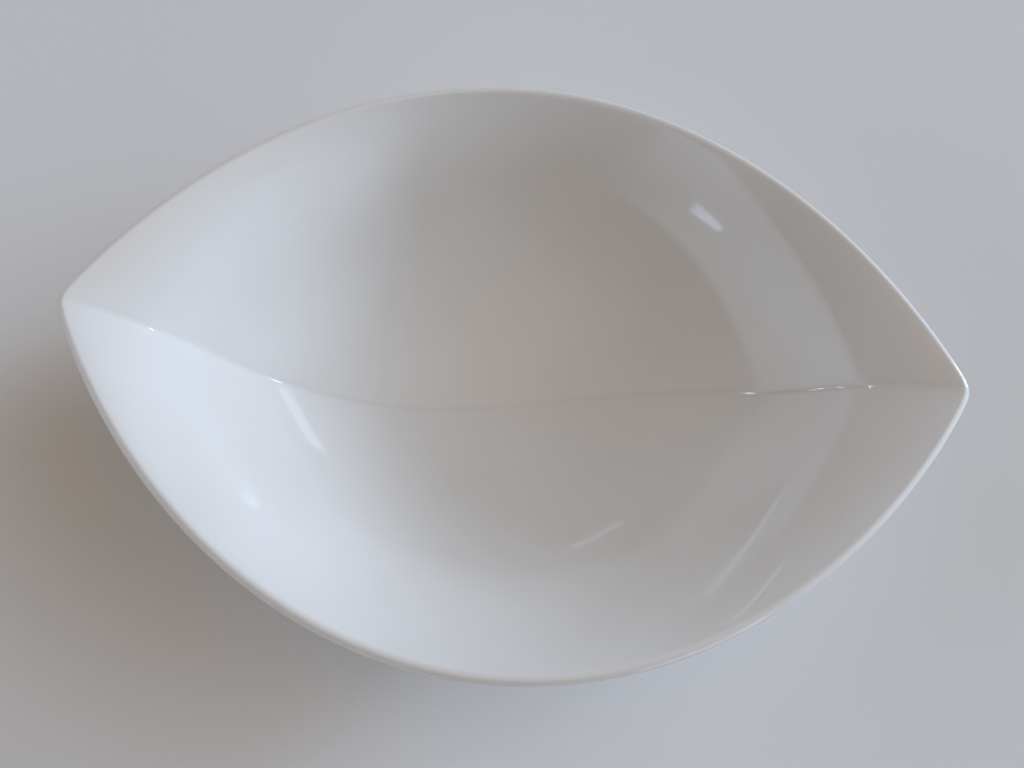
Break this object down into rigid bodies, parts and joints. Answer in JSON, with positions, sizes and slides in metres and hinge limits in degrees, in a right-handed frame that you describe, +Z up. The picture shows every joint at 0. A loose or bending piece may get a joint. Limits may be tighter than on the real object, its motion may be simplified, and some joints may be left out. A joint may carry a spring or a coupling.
{
  "type": "serving dish",
  "caption": "Leaf-shaped glazed porcelain serving bowl, its lobes meeting in an S-curved valley from tip to tip, with flared tips, a rounded lip and an oval foot ring.",
  "frame": {"origin": "on the table, under the middle of the dish", "axes": "+X from tip to tip along the dish, +Y across it, +Z up"},
  "size_m": [0.3, 0.213, 0.0685],
  "materials": {
    "glaze": "clear gloss glaze over white porcelain",
    "bare_foot": "glazed sides over a bare, wiped standing face"
  },
  "bodies": {
    "root": {"dish_body": "glaze", "foot_ring": "bare_foot"}
  },
  "joints": []
}
